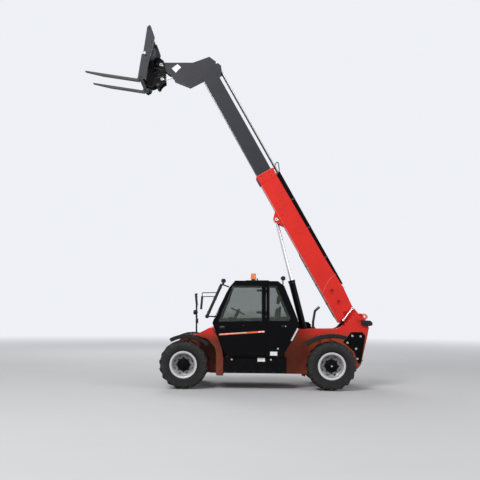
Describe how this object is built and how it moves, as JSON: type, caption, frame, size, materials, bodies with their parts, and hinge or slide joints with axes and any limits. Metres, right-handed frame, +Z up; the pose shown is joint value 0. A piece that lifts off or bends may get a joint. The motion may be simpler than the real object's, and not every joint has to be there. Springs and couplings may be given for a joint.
{
  "type": "telehandler",
  "caption": "Telescopic handler with a side cab, a raised two-stage boom, pallet forks and all-wheel steering.",
  "frame": {"origin": "on the floor under the middle of the outline", "axes": "+X forward, +Y to the left, the cab's side, +Z up"},
  "size_m": [6.3995, 2.3, 8.0089],
  "materials": {
    "red_paint": "gloss",
    "black_paint": "satin",
    "boom_grey": "satin",
    "engine_grey": "matte",
    "black_steel": "satin",
    "dark_steel": "matte",
    "black_plastic": "matte",
    "tinted_glass": "clear",
    "seat_fabric": "woven",
    "orange_lens": "gloss",
    "bright_steel": "brushed",
    "chrome": "polished",
    "rim_silver": "satin",
    "tyre_rubber": "matte"
  },
  "bodies": {
    "chassis": {"chassis_frame": "red_paint", "rear_body": "red_paint", "front_body": "red_paint", "engine_deck": "red_paint", "side_boxes": "black_paint", "engine_block": "engine_grey", "exhaust": "black_steel", "fenders": "black_plastic", "rear_guards": "black_paint", "rear_hitch": "black_steel", "front_axle": "dark_steel", "rear_axle": "dark_steel", "cab_frame": "black_paint", "cab_roof": "black_paint", "cab_glass": "tinted_glass", "seat": "seat_fabric", "steering_console": "black_plastic", "beacon": "orange_lens", "mirrors": "black_plastic", "work_lamps": "black_plastic", "tail_lamps": "black_plastic"},
    "cab_door": {"cab_door": "black_paint", "door_glass": "tinted_glass"},
    "engine_hood": {"engine_hood": "black_paint"},
    "outer_boom": {"outer_boom": "red_paint", "boom_conduit": "black_paint"},
    "inner_boom": {"inner_boom": "boom_grey", "boom_tubes": "bright_steel"},
    "lift_barrel": {"lift_barrel": "black_paint"},
    "lift_rod": {"lift_rod": "chrome"},
    "compensation_barrel": {"compensation_barrel": "black_paint"},
    "compensation_rod": {"compensation_rod": "chrome"},
    "tilt_barrel": {"tilt_barrel": "black_paint"},
    "tilt_rod": {"tilt_rod": "chrome"},
    "carriage": {"coupler": "boom_grey", "fork_frame": "boom_grey", "forks": "black_steel"},
    "knuckle_front_left": {"knuckle_front_left": "dark_steel"},
    "wheel_front_left": {"rim_front_left": "rim_silver", "tyre_front_left": "tyre_rubber"},
    "knuckle_front_right": {"knuckle_front_right": "dark_steel"},
    "wheel_front_right": {"rim_front_right": "rim_silver", "tyre_front_right": "tyre_rubber"},
    "steering_rod_front": {"steering_rod_front": "chrome"},
    "knuckle_rear_left": {"knuckle_rear_left": "dark_steel"},
    "wheel_rear_left": {"rim_rear_left": "rim_silver", "tyre_rear_left": "tyre_rubber"},
    "knuckle_rear_right": {"knuckle_rear_right": "dark_steel"},
    "wheel_rear_right": {"rim_rear_right": "rim_silver", "tyre_rear_right": "tyre_rubber"},
    "steering_rod_rear": {"steering_rod_rear": "chrome"}
  },
  "joints": [
    {"name": "boom_lift", "type": "hinge", "parent": "chassis", "child": "outer_boom", "pos_m": [-2.911, 0, 1.528], "axis": [0, -1, 0], "range_deg": [-60, 0]},
    {"name": "boom_extend", "type": "slide", "parent": "outer_boom", "child": "inner_boom", "axis": [0.4909, 0, 0.8712], "range_m": [-2.4, 0]},
    {"name": "carriage_tilt", "type": "hinge", "parent": "inner_boom", "child": "carriage", "pos_m": [1.53198, 0, 7.28104], "axis": [0, 1, 0], "range_deg": [-60, 35]},
    {"name": "cab_door", "type": "hinge", "parent": "chassis", "child": "cab_door", "pos_m": [-0.868, 1.065, 1.5], "axis": [0, 0, 1], "range_deg": [0, 85]},
    {"name": "engine_hood", "type": "hinge", "parent": "chassis", "child": "engine_hood", "pos_m": [-0.9, -0.412, 1.44], "axis": [-1, 0, 0], "range_deg": [0, 60]},
    {"name": "lift_barrel_pivot", "type": "hinge", "parent": "chassis", "child": "lift_barrel", "pos_m": [-1.899, 0, 0.65], "axis": [0, -1, 0], "range_deg": [-64, 1]},
    {"name": "lift_rod_slide", "type": "slide", "parent": "lift_barrel", "child": "lift_rod", "axis": [0.2489, 0, 0.9685], "range_m": [-1.345, 0.005]},
    {"name": "compensation_barrel_pivot", "type": "hinge", "parent": "chassis", "child": "compensation_barrel", "pos_m": [-2.2635, 0.182, 1.037], "axis": [0, -1, 0], "range_deg": [-5, 5]},
    {"name": "compensation_rod_slide", "type": "slide", "parent": "compensation_barrel", "child": "compensation_rod", "axis": [-0.5952, 0, 0.8036], "range_m": [-0.27, 0.005]},
    {"name": "tilt_barrel_pivot", "type": "hinge", "parent": "inner_boom", "child": "tilt_barrel", "pos_m": [0.58099, 0, 7.27001], "axis": [0, -1, 0], "range_deg": [-8, 8]},
    {"name": "tilt_rod_slide", "type": "slide", "parent": "tilt_barrel", "child": "tilt_rod", "axis": [0.9449, 0, -0.3272], "range_m": [-0.2, 0.31]},
    {"name": "front_steer", "type": "hinge", "parent": "chassis", "child": "knuckle_front_left", "pos_m": [0.906, 0.72, 0.525], "axis": [0, 0, 1], "range_deg": [-35, 35]},
    {"name": "wheel_spin_front_left", "type": "hinge", "parent": "knuckle_front_left", "child": "wheel_front_left", "pos_m": [0.906, 0.95, 0.525], "axis": [0, 1, 0], "continuous": true},
    {"name": "front_steer_right", "type": "hinge", "parent": "chassis", "child": "knuckle_front_right", "pos_m": [0.906, -0.72, 0.525], "axis": [0, 0, 1], "range_deg": [-35.5, 35.5]},
    {"name": "wheel_spin_front_right", "type": "hinge", "parent": "knuckle_front_right", "child": "wheel_front_right", "pos_m": [0.906, -0.95, 0.525], "axis": [0, 1, 0], "continuous": true},
    {"name": "steering_rod_front_slide", "type": "slide", "parent": "chassis", "child": "steering_rod_front", "axis": [0, 1, 0], "range_m": [-0.088, 0.088]},
    {"name": "rear_steer", "type": "hinge", "parent": "chassis", "child": "knuckle_rear_left", "pos_m": [-2.244, 0.72, 0.525], "axis": [0, 0, 1], "range_deg": [-35, 35]},
    {"name": "wheel_spin_rear_left", "type": "hinge", "parent": "knuckle_rear_left", "child": "wheel_rear_left", "pos_m": [-2.244, 0.95, 0.525], "axis": [0, 1, 0], "continuous": true},
    {"name": "rear_steer_right", "type": "hinge", "parent": "chassis", "child": "knuckle_rear_right", "pos_m": [-2.244, -0.72, 0.525], "axis": [0, 0, 1], "range_deg": [-35.5, 35.5]},
    {"name": "wheel_spin_rear_right", "type": "hinge", "parent": "knuckle_rear_right", "child": "wheel_rear_right", "pos_m": [-2.244, -0.95, 0.525], "axis": [0, 1, 0], "continuous": true},
    {"name": "steering_rod_rear_slide", "type": "slide", "parent": "chassis", "child": "steering_rod_rear", "axis": [0, 1, 0], "range_m": [-0.088, 0.088]}
  ],
  "couplings": [
    {"joint": "lift_barrel_pivot", "follows": "boom_lift", "ratio": 1.0413},
    {"joint": "lift_rod_slide", "follows": "boom_lift", "m_per_rad": 1.2754},
    {"joint": "compensation_barrel_pivot", "follows": "boom_lift", "ratio": -0.015777},
    {"joint": "compensation_rod_slide", "follows": "boom_lift", "m_per_rad": 0.2456},
    {"joint": "tilt_barrel_pivot", "follows": "carriage_tilt", "ratio": -0.1},
    {"joint": "tilt_rod_slide", "follows": "carriage_tilt", "m_per_rad": -0.28},
    {"joint": "front_steer_right", "follows": "front_steer", "ratio": 1},
    {"joint": "steering_rod_front_slide", "follows": "front_steer", "m_per_rad": -0.13145},
    {"joint": "rear_steer_right", "follows": "rear_steer", "ratio": 1},
    {"joint": "steering_rod_rear_slide", "follows": "rear_steer", "m_per_rad": 0.13145}
  ]
}
